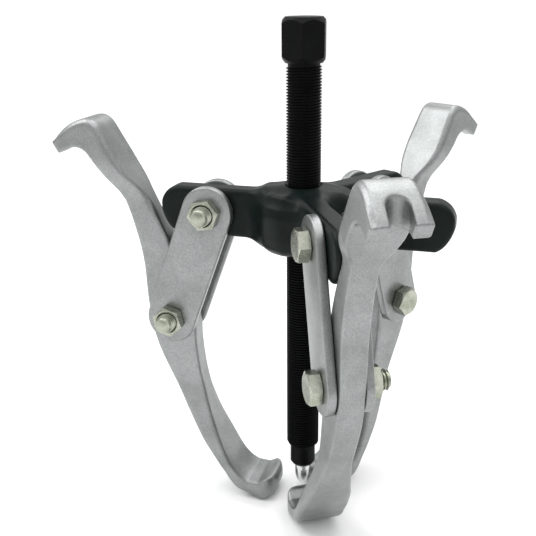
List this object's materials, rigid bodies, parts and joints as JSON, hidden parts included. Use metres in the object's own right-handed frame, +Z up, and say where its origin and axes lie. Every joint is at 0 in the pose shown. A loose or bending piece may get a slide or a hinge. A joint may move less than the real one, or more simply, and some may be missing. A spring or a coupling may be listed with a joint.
{
  "type": "gear puller",
  "caption": "Jaw-type gear puller with a forcing screw through a radial-armed yoke, link straps, and reversible double-ended jaws.",
  "frame": {"origin": "on the forcing screw's axis, at the flat land of its centre point, with the tool as it stands on its lower hooks", "axes": "+Z up along the forcing screw towards its hexagon; +X along the fourth, empty yoke arm; +Y completes the right-handed frame"},
  "size_m": [0.2308, 0.2656, 0.286],
  "materials": {
    "black_paint": "satin",
    "black_oxide": "black oxide, slightly oiled",
    "bright_steel": "turned and polished",
    "forged_steel": "satin grey over forged steel",
    "zinc": "bright zinc with a pale yellow-green passivation"
  },
  "bodies": {
    "yoke": {"yoke": "black_paint"},
    "point": {"centre_point": "bright_steel"},
    "screw": {"forcing_screw": "black_oxide"},
    "link_1": {"strap_a_1": "forged_steel", "strap_b_1": "forged_steel", "upper_bolt_1": "zinc", "upper_nut_1": "zinc", "lower_bolt_1": "zinc", "lower_nut_1": "zinc"},
    "jaw_1": {"jaw_1": "forged_steel"},
    "link_2": {"strap_a_2": "forged_steel", "strap_b_2": "forged_steel", "upper_bolt_2": "zinc", "upper_nut_2": "zinc", "lower_bolt_2": "zinc", "lower_nut_2": "zinc"},
    "jaw_2": {"jaw_2": "forged_steel"},
    "link_3": {"strap_a_3": "forged_steel", "strap_b_3": "forged_steel", "upper_bolt_3": "zinc", "upper_nut_3": "zinc", "lower_bolt_3": "zinc", "lower_nut_3": "zinc"},
    "jaw_3": {"jaw_3": "forged_steel"}
  },
  "joints": [
    {"name": "screw_feed", "type": "slide", "parent": "yoke", "child": "point", "axis": [0, 0, 1], "range_m": [-0.015, 0.11]},
    {"name": "screw_spin", "type": "hinge", "parent": "point", "child": "screw", "pos_m": [0, 0, 0.15], "axis": [0, 0, 1], "range_deg": [-3405, 24950]},
    {"name": "link_swing_1", "type": "hinge", "parent": "yoke", "child": "link_1", "pos_m": [-0.0533, 0, 0.1717], "axis": [0, 1, 0], "range_deg": [-2.5, 60]},
    {"name": "jaw_swing_1", "type": "hinge", "parent": "link_1", "child": "jaw_1", "pos_m": [-0.07783, 0, 0.10539], "axis": [0, -1, 0], "range_deg": [-3.5, 4.5]},
    {"name": "link_swing_2", "type": "hinge", "parent": "yoke", "child": "link_2", "pos_m": [0.02665, -0.04616, 0.1717], "axis": [-0.866, -0.5, 0], "range_deg": [-1.5, 60]},
    {"name": "jaw_swing_2", "type": "hinge", "parent": "link_2", "child": "jaw_2", "pos_m": [0.03781, -0.06549, 0.10461], "axis": [0.866, 0.5, 0], "range_deg": [-2.5, 2.5]},
    {"name": "link_swing_3", "type": "hinge", "parent": "yoke", "child": "link_3", "pos_m": [0.02665, 0.04616, 0.1717], "axis": [0.866, -0.5, 0], "range_deg": [-1.2, 60]},
    {"name": "jaw_swing_3", "type": "hinge", "parent": "link_3", "child": "jaw_3", "pos_m": [0.03734, 0.06467, 0.10431], "axis": [-0.866, 0.5, 0], "range_deg": [-2.5, 2]}
  ],
  "couplings": [
    {"joint": "screw_spin", "follows": "screw_feed", "rad_per_m": 3957.9}
  ]
}
